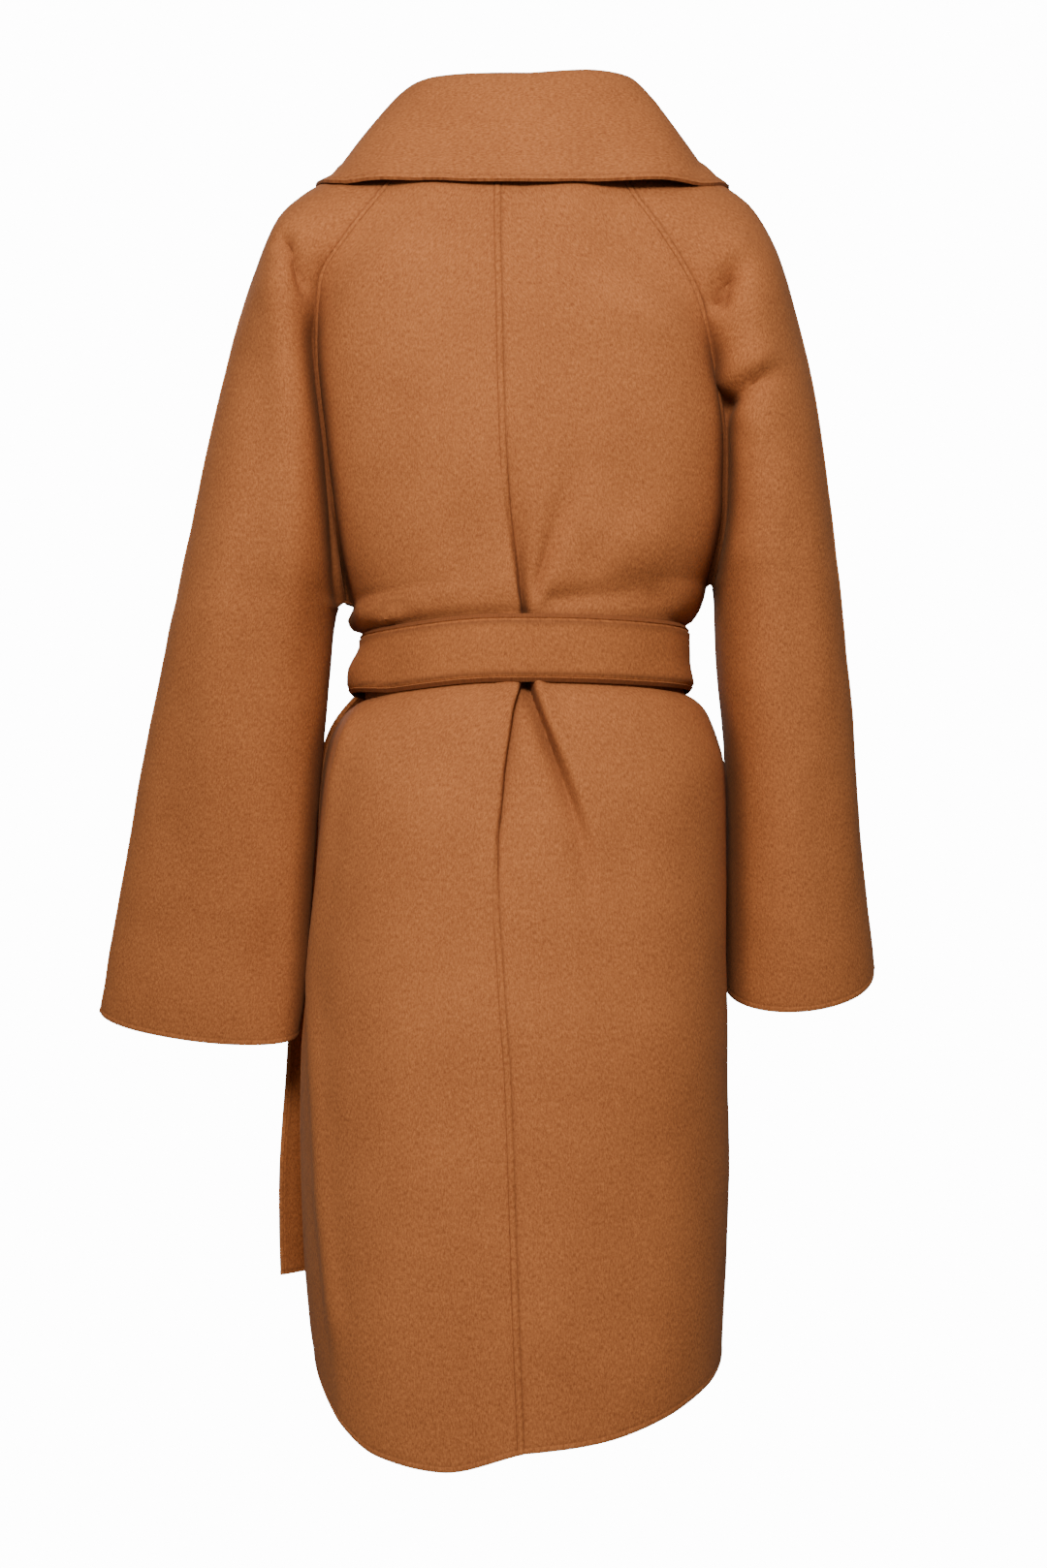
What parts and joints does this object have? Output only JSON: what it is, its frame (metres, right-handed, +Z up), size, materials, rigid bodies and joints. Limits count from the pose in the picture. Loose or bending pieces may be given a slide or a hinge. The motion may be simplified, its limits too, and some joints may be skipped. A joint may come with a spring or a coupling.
{
  "type": "wool wrap coat",
  "caption": "Knee-length camel wool wrap coat with a wide shawl collar, raglan bell sleeves and a tied self belt, in its worn, hollow form",
  "frame": {"origin": "between the wearer's shoulders, at the height of the centre-back neck seam", "axes": "+Z up, the coat faces -Y, +X is the wearer's left"},
  "size_m": [0.6552, 0.394, 1.0832],
  "materials": {
    "wool": "matt brushed double-faced wool",
    "belt_wool": "matt brushed wool, doubled and edge-stitched"
  },
  "bodies": {
    "root": {"back_left": "wool", "back_right": "wool", "front_left": "wool", "front_right": "wool", "sleeve_back_left": "wool", "sleeve_back_right": "wool", "sleeve_front_left": "wool", "sleeve_front_right": "wool", "collar": "wool", "belt_band": "belt_wool", "belt_knot": "belt_wool", "belt_tail_long": "belt_wool", "belt_tail_short": "belt_wool"}
  },
  "joints": []
}
